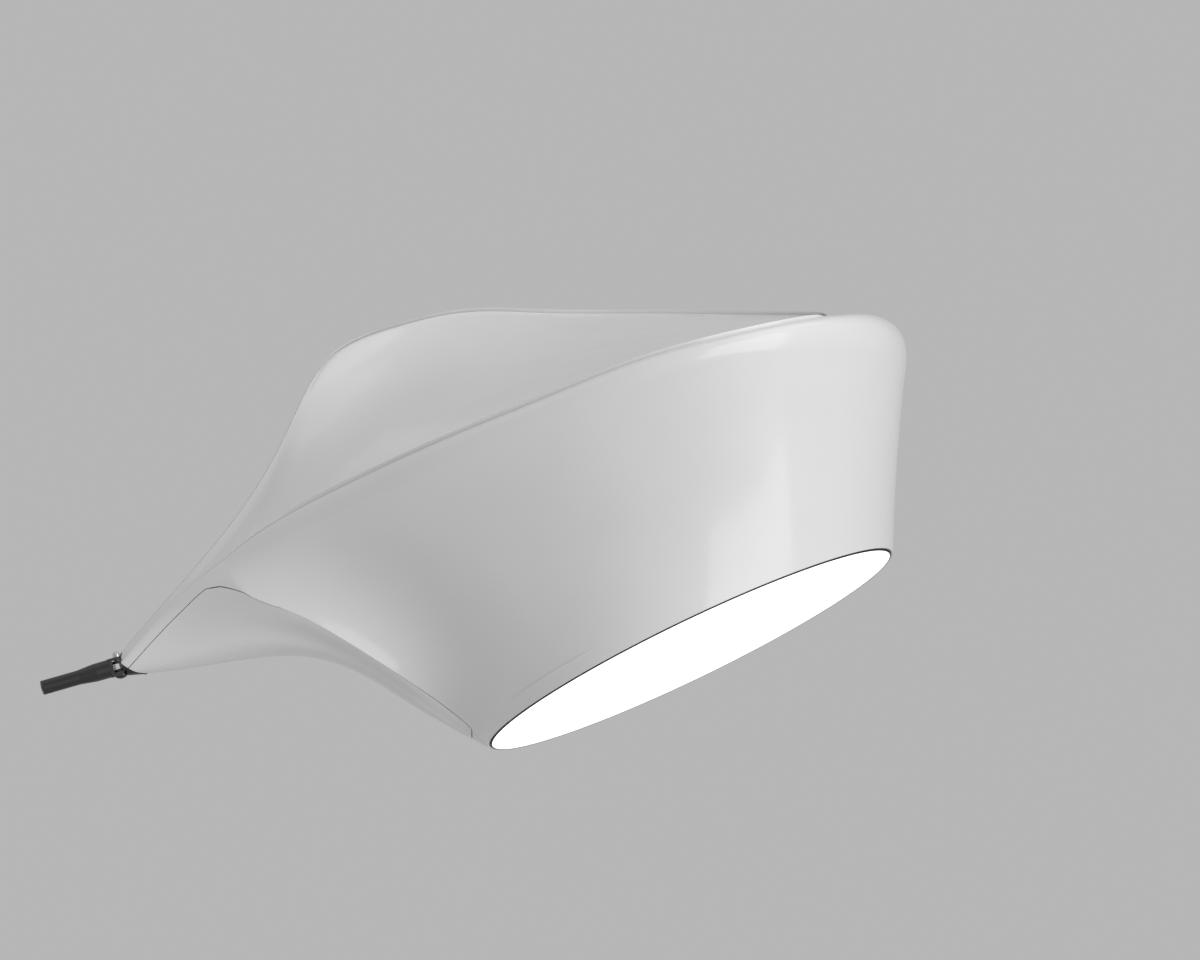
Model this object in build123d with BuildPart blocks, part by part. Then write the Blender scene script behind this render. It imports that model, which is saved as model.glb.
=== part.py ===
from build123d import *
import math
import os

os.makedirs("parts", exist_ok=True)

# One head of a swing arm lamp, held at the free end of its arm.
# Millimetres, +Z up, +X from the arm towards the head, origin on the arm's axis at its free end.

# Lamp head, driving dimensions
mouth_centre = Vector(469.7, 0, 27.5)
mouth_roll = 25.8
mouth_pitch = 9.1
mouth_radius = 162.6
wall = 2.6
horn_inset = 1.5
half_wall = 1.25
sharpest_corner = 0.2
dish_share = 0.89
far_push = 2.0
far_stations = (168, 173)
rim_wall = 1.4
seam_gap = 0.5

# Nose, driving dimensions
collar_centre = Vector(64.5, 11.6, 16.3)
collar_normal = Vector(-0.507, 0.407, -0.760)
nose_axis = Vector(0.828, -0.036, 0.559).normalized()
nose_depth = 22
socket_radius = 5.5

# Lamp, driving dimensions
diffuser_radius = 159.6
diffuser_top = 1.5
gasket_radius = 160.2
gasket_top = 2.3
post_count = 6
post_first = 30
flange_hole_ring = 147.5
screw_hole = 1.55
plate_low = 30
plate_high = 33
board_low = 28.4
spine_foot = -105
case_left = -60
case_right = 90
case_half_width = 22.5
case_top = 60
case_wall = 1.6
lead_height = 43
lead_radius = 1.6
lead_hole = 2.2

# Arm and pivots, driving dimensions
spigot_radius = 5.25
spigot_length = 27
arm_radius = 6.6
arm_bore = 2.25
hub_back = -7.5
hub_front = -5.0
ear_inner = 4.8
ear_outer = 6.9
upper_ear = 2.75
lower_ear = 4.7
pin_radius = 2.0
pin_hole = 2.05
pin_end = 2.1
tongue_half = 4.2
washer_gap = 0.1
ear_clear = 4.25
ear_room = 3.1
tongue_radius = 4.5
lead_gap = 2.8

# Arm and hinge, driving dimensions
hinge_centre = Vector(54.7, 11.6, 15.6)

arm_axis = hinge_centre.normalized()
pin_axis = Vector(-arm_axis.Z, 0, arm_axis.X).normalized()
knuckle = Plane(origin=hinge_centre, x_dir=arm_axis, z_dir=pin_axis)

# The lit mouth lies in this plane. Its z runs inwards, its x rises to the right-hand end.
roll_angle = math.radians(mouth_roll)
pitch_angle = math.radians(mouth_pitch)
mouth_across = Vector(math.cos(roll_angle), 0, math.sin(roll_angle))
mouth_inward = Vector(
    -math.sin(roll_angle) * math.cos(pitch_angle),
    math.sin(pitch_angle),
    math.cos(roll_angle) * math.cos(pitch_angle),
)
mouth = Plane(origin=mouth_centre, x_dir=mouth_across, z_dir=mouth_inward)

# Rim of the head. Each station has its angle round the mouth (0 at the right-hand end, minus on the
# near side), the sharp corner where side wall and deck would meet, the size of the roll that rounds
# that corner, and how far the wall is dished there.
rim_stations = [
    (-174, (131.5, -24.6, 88.6), 12.3, 0),
    (-160, (165.8, -47.8, 113.3), 12.3, 24),
    (-142, (222.7, -92.7, 142.8), 12.3, 24),
    (-122, (291.3, -141.2, 175.2), 12.3, 21),
    (-102, (361.9, -177.4, 205.0), 12.3, 17),
    (-82, (431.5, -199.1, 233.2), 13.0, 12),
    (-62, (497.5, -196.9, 252.0), 14.5, 6),
    (-42, (555.4, -160.7, 264.4), 21.0, 3),
    (-22, (602.3, -97.7, 269.4), 29.0, 2),
    (0, (628.2, 0.0, 270.7), 36.0, 2),
    (22, (610.7, 101.4, 272.6), 29.0, 1),
    (42, (568.1, 168.0, 274.6), 21.0, -3),
    (62, (509.5, 206.3, 276.4), 14.5, -6),
    (85, (437.8, 217.2, 278.0), 10.0, -6),
    (108, (366.0, 206.3, 278.6), 8.7, -4),
    (130, (302.4, 177.4, 279.6), 8.7, 0),
    (148, (247.4, 137.6, 267.5), 8.7, 4),
    (160, (200.8, 94.1, 243.3), 8.7, 4),
    (168, (172.1, 60.8, 187.2), 7.2, 0),
    (173, (133.9, 36.2, 121.4), 5.8, 0),
    (176, (87.5, 22.3, 64.8), 4.3, 0),
    (178, (44.9, 15.6, 10.4), 3.0, 0),
    (180, (46.9, 7.6, 8.4), 3.0, 0),
    (182, (74.0, 3.5, 40.0), 6.5, 0),
    (184, (105.0, -9.5, 70.0), 10.0, 0),
    (186, (131.5, -24.6, 88.6), 12.3, 0),
]

# Lines of the horn below the rim, from the mouth's left-hand end to the nose, by their angle
crease_line = [
    (309.9, -13.0, -27.8),
    (262.8, -33.3, 8.2),
    (217.9, -43.4, 37.2),
    (177.7, -42.0, 57.6),
    (148.6, -34.8, 69.4),
]
horn_lines = {
    -174: crease_line,
    176: [(263.5, 14.0, -3.9), (204.6, 17.9, 32.7), (141.9, 21.5, 49.3)],
    178: [
        (309.6, 2.9, -36.3),
        (265.3, 5.8, -11.1),
        (218.9, 7.2, 15.0),
        (186.2, 8.7, 22.9),
        (142.6, 10.1, 20.0),
        (91.8, 12.9, 12.0),
    ],
    180: [
        (309.6, -1.0, -35.8),
        (265.0, -5.0, -8.5),
        (218.0, -6.5, 18.0),
        (186.0, -7.0, 26.5),
        (142.6, -3.0, 25.0),
        (91.8, 3.9, 15.5),
    ],
    182: [
        (309.6, -5.0, -34.0),
        (264.5, -15.5, -3.0),
        (217.7, -21.0, 25.5),
        (184.0, -21.5, 37.0),
        (142.0, -15.0, 40.5),
        (100.0, -3.0, 35.0),
    ],
    184: [
        (309.8, -9.5, -31.0),
        (263.6, -25.5, 2.5),
        (217.8, -34.5, 31.5),
        (180.0, -34.0, 48.0),
        (145.0, -26.5, 57.0),
    ],
    186: crease_line,
}
deck_line = [
    (44.9, 11.6, 9.4),
    (88.2, 10.1, 56.3),
    (117.4, 7.2, 86.8),
    (158.9, 3.6, 126.0),
    (204.4, 7.2, 170.9),
    (258.6, 10.9, 208.6),
    (331.2, 14.5, 229.0),
    (418.3, 7.2, 248.5),
    (505.1, 0.0, 260.6),
    (563.1, 0.0, 267.9),
]

# Middle of the horn's hollow, from the nose to the mouth
core_line = [
    (91.8, 9, 36),
    (142.6, -4, 56),
    (186.0, -12, 56),
    (218.9, -10, 42),
    (265.3, -8, 10),
    (309.6, 5, -30),
]

# Lines across the deck: near station, far station and how far the deck sags between them
deck_lines = [
    (-160, 160, 16),
    (-142, 148, 14),
    (-122, 130, 9),
    (-102, 108, 5),
    (-82, 85, 4),
    (-62, 62, 4),
    (-42, 42, 3),
]

# Stations that face each other across the deck, and the sag between them
deck_partners = {186: (168, 16), 168: (-174, 16), -174: (168, 16), 184: (173, 12), 173: (184, 12)}
deck_partners.update({near: (far, sag) for near, far, sag in deck_lines})
deck_partners.update({far: (near, sag) for near, far, sag in deck_lines})

# Line on which the underside panel parts from the rest, seen square from the near side
seam_points = [
    (41.8, 0), (62, 14.5), (78, 32.6), (92.5, 47.8), (112, 66.6), (119.2, 72.4), (130.1, 74.2),
    (143.1, 69.5), (164.9, 61.5), (186.6, 51.4), (216.3, 36.2), (261.9, 7.2), (287.9, -11.6),
    (305, -25.5), (311, -34),
]


def mouth_point(angle, radius, height=0.0):
    turn = math.radians(angle)
    return mouth.from_local_coords((radius * math.cos(turn), radius * math.sin(turn), height))


def on_line(line, x):
    """Point above a given x on a line of points that run with growing x."""
    points = [Vector(*p) for p in line]
    for left, right in zip(points, points[1:]):
        if x <= right.X:
            return left + (right - left) * ((x - left.X) / (right.X - left.X))
    return points[-1]


def rim_way(angle):
    """Direction in which the rim runs past a station."""
    angles = [station[0] for station in rim_stations]
    corners = [Vector(*station[1]) for station in rim_stations]
    here = angles.index(angle)
    before = corners[here - 1] if here > 0 else corners[-2]
    after = corners[here + 1] if here < len(corners) - 1 else corners[1]
    return (after - before).normalized()


def deck_way(angle, corner):
    """Direction in which the deck leaves the rim at a station, square across the head."""
    if angle not in deck_partners:
        return (on_line(deck_line, corner.X + 10) - corner).normalized()
    partner, sag = deck_partners[angle]
    other = next(Vector(*station[1]) for station in rim_stations if station[0] == partner)
    middle = (corner + other) * 0.5 - Vector(0, 0, sag)
    return (middle * 4 - other - corner * 3).normalized()


def rolled_corner(angle, corner, foot, roll, inset):
    """Where a corner's roll leaves the wall, its corner, and where it reaches the deck."""
    down = (foot - corner).normalized()
    inward = (on_line(deck_line, corner.X + 10) - corner).normalized()
    along = rim_way(angle)
    across = deck_way(angle, corner)
    wall_square = down.cross(along)
    deck_square = across.cross(along)
    opening = max(abs(wall_square.dot(across)), sharpest_corner)
    corner = corner + (across * wall_square.length + down * deck_square.length) * (inset / opening)
    return corner + down * roll, corner, corner + inward * roll


def column(station, inset):
    """Side wall, its top end, the rim corner and the deck's edge above one angle of the mouth."""
    angle, corner, roll, dish = station
    corner = Vector(*corner)
    foot = mouth_point(angle, mouth_radius - inset * rim_wall / wall)
    if angle in horn_lines:
        between = [Vector(*p) for p in horn_lines[angle]]
        between = [p + (on_line(core_line, p.X) - p).normalized() * inset * horn_inset for p in between]
        wall_top, corner, deck_edge = rolled_corner(angle, corner, between[-1], roll, inset)
    else:
        wall_top, corner, deck_edge = rolled_corner(angle, corner, foot, roll, inset)
        chord = wall_top - foot
        middle = foot + chord * 0.5
        axis_point = mouth.from_local_coords((0, 0, mouth.to_local_coords(middle).Z))
        inwards = (axis_point - middle).normalized()
        push = dish * dish_share + (inset * far_push if angle in far_stations else 0)
        between = [foot + chord * share + inwards * push for share in (0.33, 0.67)]
    return [foot, *between, wall_top], corner, deck_edge


def skin(inset):
    """Closed outer form of the head, or the form that lies a given way inside it."""
    columns = [column(station, inset) for station in rim_stations]
    side = Shell.make_loft([
        Wire([Edge.make_spline(wall_points), Edge.make_bezier(wall_points[-1], corner, deck_edge)])
        for wall_points, corner, deck_edge in columns
    ])
    wall_face, roll_face = side.faces()
    on_mouth = [
        edge
        for edge in wall_face.edges()
        if max(abs(mouth.to_local_coords(edge @ share).Z) for share in (0.2, 0.5)) < 0.5
    ]
    rim_edge = max(roll_face.edges(), key=lambda edge: (edge @ 0.3).Z + (edge @ 0.6).Z)
    rim_points = {station[0]: line[2] for station, line in zip(rim_stations, columns)}
    places = {angle: rim_edge.param_at_point(point) for angle, point in rim_points.items()}
    deck_faces = []
    last_near, last_far, last_line = None, None, None
    for near, far, sag in deck_lines:
        middle = (rim_points[near] + rim_points[far]) * 0.5 - Vector(0, 0, sag + inset)
        line = Edge.make_spline([rim_points[near], middle, rim_points[far]])
        if last_line is None:
            around = [rim_edge.trim(0.0, places[near]), line, rim_edge.trim(places[far], 1.0)]
        else:
            near_side = rim_edge.trim(places[last_near], places[near])
            far_side = rim_edge.trim(places[far], places[last_far])
            around = [near_side, line, far_side, last_line]
        deck_faces.append(Face.make_surface(around))
        last_near, last_far, last_line = near, far, line
    right_end = rim_edge.trim(places[last_near], places[last_far])
    deck_faces.append(Face.make_surface([right_end, last_line]))
    return Solid(Shell(Face.sew_faces([wall_face, roll_face, *deck_faces, Face(Wire(on_mouth))])[0]))


def at_mouth(x, y, z):
    """Place in the mouth's frame: x to its right-hand end, y away from the near side, z inwards."""
    return mouth * Pos(x, y, z)


def mouth_box(low, high):
    """Box between two corners in the mouth's frame."""
    size = [top - bottom for bottom, top in zip(low, high)]
    centre = [(top + bottom) / 2 for bottom, top in zip(low, high)]
    return at_mouth(*centre) * Box(*size, mode=Mode.PRIVATE)


def mouth_rod(x, y, low, high, radius):
    """Round rod square to the mouth between two heights."""
    return at_mouth(x, y, (low + high) / 2) * Cylinder(radius, high - low, mode=Mode.PRIVATE)


def knuckle_box(low, high):
    """Box between two corners in the knuckle's frame: x along the arm, z up the pin."""
    size = [top - bottom for bottom, top in zip(low, high)]
    centre = [(top + bottom) / 2 for bottom, top in zip(low, high)]
    return knuckle * Pos(*centre) * Box(*size, mode=Mode.PRIVATE)


def knuckle_rod(low, high, radius):
    """Round rod on the pin's axis between two heights."""
    return knuckle * Pos(0, 0, (low + high) / 2) * Cylinder(radius, high - low, mode=Mode.PRIVATE)


def rod_between(start, end, radius):
    """Round rod from one point to another."""
    way = end - start
    return Plane(origin=start, z_dir=way) * Pos(0, 0, way.length / 2) * Cylinder(radius, way.length, mode=Mode.PRIVATE)


def round_places(radius, count, first=0.0):
    """Points evenly round the mouth's axis."""
    turns = [math.radians(first + 360 * step / count) for step in range(count)]
    return [(radius * math.cos(turn), radius * math.sin(turn), turn) for turn in turns]


# Forms shared by the pieces of the head
outer = skin(0)
cavity = skin(wall)
root_form = skin(half_wall)

collar = Plane(origin=collar_centre, z_dir=collar_normal)
arm_side = collar * Pos(0, 0, 200) * Box(400, 400, 400)
nose_solid = collar * Pos(0, 0, 200 - nose_depth) * Box(400, 400, 400)

seam_path = Edge.make_spline([Vector(x, 0, z) for x, z in seam_points])
seam_end = seam_path @ 1
seam_start = seam_path @ 0
seam_region = Face(Wire([
    seam_path,
    Edge.make_line(seam_end, seam_end + Vector(3, 0, -60)),
    Edge.make_line(seam_end + Vector(3, 0, -60), seam_start + Vector(-30, 0, -90)),
    Edge.make_line(seam_start + Vector(-30, 0, -90), seam_start),
]))
below_seam = extrude(seam_region, amount=140, dir=(0, 1, 0), both=True)

socket = rod_between(collar_centre - nose_axis * 8, collar_centre + nose_axis * 30, socket_radius)
hollow = outer - arm_side - (cavity - nose_solid) - socket
hollow = hollow - knuckle_rod(ear_clear, 14, ear_room)

# Front panel, deck and rear wall in one moulding, with the posts that carry the lamp tray
shell_form = hollow - below_seam
for x, y, turn in round_places(165, post_count, post_first):
    post = at_mouth(x, y, 0) * Rot(0, 0, math.degrees(turn)) * Pos(0, 0, 22) * Box(40, 12, 18.8)
    shell_form = shell_form + (post & root_form)
for x, y, turn in round_places(flange_hole_ring, post_count, post_first):
    shell_form = shell_form - mouth_rod(x, y, 8, 26, screw_hole)
with BuildPart() as main_shell:
    add(shell_form.fix(), clean=False)

# Leaf-shaped lower panel of the horn
panel_form = hollow & (Pos(0, 0, -seam_gap) * below_seam)
with BuildPart() as underside_shell:
    add(panel_form.fix(), clean=False)

# Thin black ring round the lit disc
with BuildPart() as bezel_gasket:
    add(mouth_rod(0, 0, -0.8, gasket_top, gasket_radius))
    add(mouth_rod(0, 0, -2, diffuser_top + 0.05, diffuser_radius + 0.1), mode=Mode.SUBTRACT)
    add(mouth_rod(0, 0, -2, 6, 155), mode=Mode.SUBTRACT)

# Opal disc that fills the mouth, with the rim by which it is held
with BuildPart() as diffuser:
    add(mouth_rod(0, 0, -0.6, diffuser_top, diffuser_radius))
    add(mouth_rod(0, 0, diffuser_top, 8, 152.5) - mouth_rod(0, 0, diffuser_top, 8, 150))

# Heat sink pan over the lamp: plate, skirt, flange and cooling fins
with BuildPart() as lamp_tray:
    add(mouth_rod(0, 0, 10.4, plate_high, 143.5) - mouth_rod(0, 0, 10.4, plate_low, 141.5))
    add(mouth_rod(0, 0, 10.4, 12.4, 151) - mouth_rod(0, 0, 10.4, 12.4, 142))
    for y in (-96, -81, -66, -51, -36, 36, 51, 66, 81, 96):
        reach = math.sqrt(136 ** 2 - y ** 2)
        add(mouth_box((-reach, y - 1.25, plate_high), (reach, y + 1.25, plate_high + 14)))
    for x, y, turn in round_places(flange_hole_ring, post_count, post_first):
        add(mouth_rod(x, y, 9, 14, screw_hole + 0.2), mode=Mode.SUBTRACT)
    for x, y, turn in round_places(108, 6, 30):
        add(mouth_rod(x, y, 29, 34, screw_hole), mode=Mode.SUBTRACT)
    for x in (spine_foot - 17, spine_foot + 17):
        for y in (-10, 10):
            add(mouth_rod(x, y, 29, 34, 2.05), mode=Mode.SUBTRACT)
    for y in (-8, 8):
        add(mouth_rod(-74, y, 29, 34, screw_hole), mode=Mode.SUBTRACT)
    for x in (case_left + 5, case_right - 5):
        for y in (5 - case_half_width, case_half_width - 5):
            add(mouth_rod(x, y, 29, 34, screw_hole), mode=Mode.SUBTRACT)
    add(mouth_rod(104, 0, 29, 34, lead_hole), mode=Mode.SUBTRACT)

with BuildPart() as tray_screws:
    for x, y, turn in round_places(flange_hole_ring, post_count, post_first):
        add(mouth_rod(x, y, 7.1, 9.1, 2.4))
        add(mouth_rod(x, y, 9.1, 22, 1.5))

# White cone round the board, held under the tray's flange by the same screws
with BuildPart() as reflector:
    cone = at_mouth(0, 0, 18.65) * Cone(141.0, 128.2, 17.1, mode=Mode.PRIVATE)
    cone_core = at_mouth(0, 0, 18.65) * Cone(139.8, 127.0, 17.1, mode=Mode.PRIVATE)
    add(cone - cone_core)
    add(mouth_rod(0, 0, 9.2, 10.3, 150.6) - mouth_rod(0, 0, 9, 11, 140.2))
    for x, y, turn in round_places(flange_hole_ring, post_count, post_first):
        add(mouth_rod(x, y, 9, 10.4, screw_hole + 0.2), mode=Mode.SUBTRACT)

# Spring clips on the tray's flange that hold the opal disc by its rim
with BuildPart() as diffuser_clips:
    for x, y, turn in round_places(150, post_count, 0):
        clip_place = at_mouth(0, 0, 0) * Rot(0, 0, math.degrees(turn))
        add(clip_place * Pos(149.5, 0, 12.95) * Box(8, 9, 0.9, mode=Mode.PRIVATE))
        add(clip_place * Pos(153.1, 0, 8.2) * Box(0.8, 9, 10.4, mode=Mode.PRIVATE))

with BuildPart() as led_board:
    add(mouth_rod(0, 0, board_low, plate_low, 125))
    for x, y, turn in round_places(108, 6, 30):
        add(mouth_rod(x, y, board_low - 1, plate_low + 1, screw_hole + 0.15), mode=Mode.SUBTRACT)
    add(mouth_rod(104, 0, board_low - 1, plate_low + 1, lead_hole), mode=Mode.SUBTRACT)

with BuildPart() as leds:
    for ring_radius, count in ((18, 6), (42, 12), (66, 18), (90, 26), (117, 34)):
        for x, y, turn in round_places(ring_radius, count):
            add(at_mouth(x, y, board_low - 0.4) * Rot(0, 0, math.degrees(turn)) * Box(5, 5, 0.8, mode=Mode.PRIVATE))

with BuildPart() as board_screws:
    for x, y, turn in round_places(108, 6, 30):
        add(mouth_rod(x, y, board_low - 1.8, board_low, 2.8))
        add(mouth_rod(x, y, board_low, plate_high, 1.5))

# Bent tube that carries the lamp tray from the nose, with its foot and the way out for the lead
spine_start = collar_centre + nose_axis * 7
foot_point = (at_mouth(spine_foot, 0, plate_high + 4)).position
foot_way = Vector(*mouth_inward)
spine_turns = [
    spine_start,
    collar_centre + nose_axis * 45,
    Vector(190, 9, 88),
    foot_point + foot_way * 72,
    foot_point,
]
with BuildLine(mode=Mode.PRIVATE) as spine_path:
    FilletPolyline(*spine_turns, radius=26)
spine_start_plane = Plane(origin=spine_start, z_dir=nose_axis)
spine_ring = spine_start_plane * Circle(4.5)
spine_bore = spine_start_plane * Circle(3.0)
spine_solid = sweep(spine_ring, path=spine_path.wire())
spine_core = sweep(spine_bore, path=spine_path.wire())
with BuildPart() as spine:
    add(spine_solid)
    add(mouth_box((spine_foot - 22, -15, plate_high), (spine_foot + 22, 15, plate_high + 4)))
    add(spine_core, mode=Mode.SUBTRACT)
    cross_middle = collar_centre + nose_axis * 12
    add(rod_between(cross_middle - Vector(0, 8, 0), cross_middle + Vector(0, 8, 0), 1.3), mode=Mode.SUBTRACT)
    add(
        mouth_box((spine_foot, -2.6, lead_height - 2.6), (spine_foot + 6, 2.6, lead_height + 2.6)),
        mode=Mode.SUBTRACT,
    )
    for x in (spine_foot - 17, spine_foot + 17):
        for y in (-10, 10):
            add(mouth_rod(x, y, plate_high - 1, plate_high + 5, 2.2), mode=Mode.SUBTRACT)

with BuildPart() as spine_screws:
    for x in (spine_foot - 17, spine_foot + 17):
        for y in (-10, 10):
            add(mouth_rod(x, y, plate_low + 0.3, plate_high + 4, 2.0))
            add(mouth_rod(x, y, plate_high + 4, plate_high + 6.5, 3.5))

# Driver: open case, lid, board with its parts, and the two terminal blocks
case_low = (case_left, -case_half_width, plate_high)
case_high = (case_right, case_half_width, case_top)
inner_low = (case_left + case_wall, case_wall - case_half_width, plate_high + case_wall)
inner_high = (case_right - case_wall, case_half_width - case_wall, case_top + 1)
case_corners = [
    (x, y)
    for x in (case_left + 5, case_right - 5)
    for y in (5 - case_half_width, case_half_width - 5)
]
with BuildPart() as driver_case:
    add(mouth_box(case_low, case_high) - mouth_box(inner_low, inner_high))
    for x, y in case_corners:
        add(mouth_rod(x, y, plate_high, case_top, 3.8))
    for x, y in case_corners:
        add(mouth_rod(x, y, plate_high - 1, case_top + 1, screw_hole + 0.15), mode=Mode.SUBTRACT)
    for x in (case_left, case_right):
        hole_start = at_mouth(x - 4, 0, lead_height).position
        hole_end = at_mouth(x + 4, 0, lead_height).position
        add(rod_between(hole_start, hole_end, lead_hole), mode=Mode.SUBTRACT)

with BuildPart() as driver_lid:
    add(mouth_box((case_left, -case_half_width, case_top), (case_right, case_half_width, case_top + case_wall)))
    for x, y in case_corners:
        add(mouth_rod(x, y, case_top - 1, case_top + 3, screw_hole + 0.15), mode=Mode.SUBTRACT)

with BuildPart() as driver_screws:
    for x, y in case_corners:
        add(mouth_rod(x, y, plate_low + 0.3, case_top + case_wall, 1.5))
        add(mouth_rod(x, y, case_top + case_wall, case_top + case_wall + 2, 2.8))

with BuildPart() as driver_board:
    add(mouth_box((case_left + 3, -12, 36), (case_right - 3, 12, 37.6)))
    add(mouth_box((-22, -10, 37.6), (6, 10, 55)))
    add(mouth_box((32, -9, 37.6), (50, 9, 52)))
    for y in (-5, 5):
        add(mouth_rod(18, y, 37.6, 54, 4.2))

with BuildPart() as terminal_blocks:
    add(mouth_box((case_left + 8, -8, 37.6), (case_left + 22, 8, 48)))
    add(mouth_box((case_right - 22, -8, 37.6), (case_right - 8, 8, 48)))

# Lead from the pivot through the nose and the spine to the driver
pivot_out = (knuckle * Pos(lead_gap, 0, 0)).position
nose_in = (knuckle * Pos(8, 0, 0)).position
lead_turns = [
    pivot_out,
    nose_in,
    collar_centre + nose_axis * 9,
    *spine_turns[1:-1],
    at_mouth(spine_foot, 0, lead_height).position,
    at_mouth(case_left + 8, 0, lead_height).position,
]
with BuildLine(mode=Mode.PRIVATE) as lead_path:
    FilletPolyline(*lead_turns, radius=(3, 6, 26, 26, 26, 2.4))
lead_section = Plane(origin=pivot_out, z_dir=nose_in - pivot_out) * Circle(lead_radius)
head_lead_solid = sweep(lead_section, path=lead_path.wire())
with BuildPart() as head_lead:
    add(head_lead_solid)

# Lead from the driver down through the tray to the board
board_end = at_mouth(case_right - 8, 0, lead_height).position
over_hole = at_mouth(104, 0, lead_height).position
through_hole = at_mouth(104, 0, board_low).position
with BuildLine(mode=Mode.PRIVATE) as driver_lead_path:
    FilletPolyline(board_end, over_hole, through_hole, radius=6)
driver_lead_section = Plane(origin=board_end, z_dir=over_hole - board_end) * Circle(lead_radius)
driver_lead_solid = sweep(driver_lead_section, path=driver_lead_path.wire())
with BuildPart() as driver_lead:
    add(driver_lead_solid)

# Block that grips the lead between the spine's foot and the driver
clamp_place = -74
with BuildPart() as lead_clamp:
    add(mouth_box((clamp_place - 5, -12, plate_high), (clamp_place + 5, 12, lead_height + 4)))
    clamp_in = at_mouth(clamp_place - 8, 0, lead_height).position
    clamp_out = at_mouth(clamp_place + 8, 0, lead_height).position
    add(rod_between(clamp_in, clamp_out, lead_radius + 0.05), mode=Mode.SUBTRACT)
    for y in (-8, 8):
        add(mouth_rod(clamp_place, y, plate_high - 1, lead_height + 5, screw_hole + 0.15), mode=Mode.SUBTRACT)

with BuildPart() as clamp_screws:
    for y in (-8, 8):
        add(mouth_rod(clamp_place, y, plate_low + 0.3, lead_height + 4, 1.5))
        add(mouth_rod(clamp_place, y, lead_height + 4, lead_height + 6, 2.8))

# Nose ferrule: the black tip of the nose, the tongue that turns on the pivots, and the plug in the nose
tip_start = 0.5
lead_slot = lead_radius + 0.35
slot_end = 0.8
tip_back = 0.9
tip_clear = 1.5
tip_clear_low = 3.3
outline_steps = 48
tip = (outer & arm_side) - collar * Pos(0, 0, tip_start - 200) * Box(400, 400, 400)
tip = tip - knuckle_box((-60, -40, -60), (tip_back, 40, 60))
tip = tip - knuckle_box((-1, -40, ear_clear), (tip_clear, 40, 60)) - knuckle_rod(ear_clear, 60, ear_room)
tip = tip - knuckle_box((-1, -40, -60), (tip_clear_low, 40, -ear_clear)) - knuckle_rod(-60, -ear_clear, 5.0)
with BuildLine(mode=Mode.PRIVATE) as nose_bore_path:
    FilletPolyline(
        (knuckle * Pos(-6, 0, 0)).position,
        nose_in,
        collar_centre + nose_axis * 9,
        collar_centre + nose_axis * 20,
        radius=3,
    )
nose_bore = sweep(
    Plane(origin=(knuckle * Pos(-6, 0, 0)).position, z_dir=arm_axis) * Circle(lead_radius + 0.3),
    path=nose_bore_path.wire(),
)
with BuildPart() as nose_ferrule:
    add(tip)
    add(knuckle_rod(-tongue_half, tongue_half, tongue_radius))
    add(knuckle_box((1, -3.9, 0.2 - tongue_half), (7, 3.9, tongue_half - 0.2)) & arm_side)
    add(rod_between(collar_centre - nose_axis * 2, collar_centre + nose_axis * 16, socket_radius - 0.1))
    add(rod_between(collar_centre + nose_axis * 6.8, collar_centre + nose_axis * 17, 4.55), mode=Mode.SUBTRACT)
    add(nose_bore, mode=Mode.SUBTRACT)
    # room for the lead to swing between the tongue's two plates
    add(knuckle_box((-9, -9, -lead_slot), (slot_end, 9, lead_slot)), mode=Mode.SUBTRACT)
    add(knuckle_rod(-8, 8, pin_hole), mode=Mode.SUBTRACT)
    pin_way = Vector(0, 1, 0)
    pin_middle = collar_centre + nose_axis * 12
    add(rod_between(pin_middle - pin_way * 8, pin_middle + pin_way * 8, 1.3), mode=Mode.SUBTRACT)

# Thin gasket between the ferrule and the end of the white nose, cut to the nose's own outline
nose_section = (collar * Rectangle(60, 60, mode=Mode.PRIVATE)).face() & outer
nose_outline = nose_section.faces()[0].outer_wire()
outline_points = [nose_outline @ (step / outline_steps) for step in range(outline_steps)]
gasket_face = Face(Wire([Edge.make_spline(outline_points, periodic=True)]))
gasket_slab = extrude(gasket_face, amount=tip_start, dir=collar_normal.normalized())
with BuildPart() as ferrule_gasket:
    add(gasket_slab - rod_between(collar_centre - nose_axis * 8, collar_centre + nose_axis * 8, socket_radius))
    add(knuckle_box((-60, -40, -60), (tip_clear_low, 40, 60)), mode=Mode.SUBTRACT)
    add(knuckle_box((0, -4.1, -tongue_half), (7.3, 4.1, tongue_half)), mode=Mode.SUBTRACT)

# Arm: tube, fork, pivots, washers, screw and lead
arm_plane = Plane(origin=(0, 0, 0), x_dir=pin_axis, z_dir=arm_axis)
arm_length = hinge_centre.length
chamfer_size = 0.6


def arm_rod(low, high, radius):
    """Round rod on the arm's axis, by distances from the free end."""
    return arm_plane * Pos(0, 0, (low + high) / 2) * Cylinder(radius, high - low, mode=Mode.PRIVATE)


with BuildPart() as arm_tube:
    add(arm_rod(0, spigot_length, spigot_radius))
    add(arm_plane * Pos(0, 0, -chamfer_size / 2) * Cone(spigot_radius - chamfer_size, spigot_radius, chamfer_size, mode=Mode.PRIVATE))
    add(arm_plane * Pos(0, 0, spigot_length + 6.5) * Cone(spigot_radius, arm_radius, 13, mode=Mode.PRIVATE))
    add(arm_rod(spigot_length + 13, arm_length + hub_back, arm_radius))
    add(arm_rod(-2, arm_length, arm_bore), mode=Mode.SUBTRACT)
    add(arm_rod(arm_length - 18, arm_length, 4.25), mode=Mode.SUBTRACT)
    screw_way = Vector(0, -0.62, -0.78)
    screw_way = (screw_way - arm_axis * screw_way.dot(arm_axis)).normalized()
    screw_seat = arm_axis * 4.2
    add(rod_between(screw_seat, screw_seat + screw_way * 8, 1.5), mode=Mode.SUBTRACT)

with BuildPart() as arm_grub_screw:
    add(rod_between(screw_seat + screw_way * 2.6, screw_seat + screw_way * 4.9, 1.45))

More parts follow.
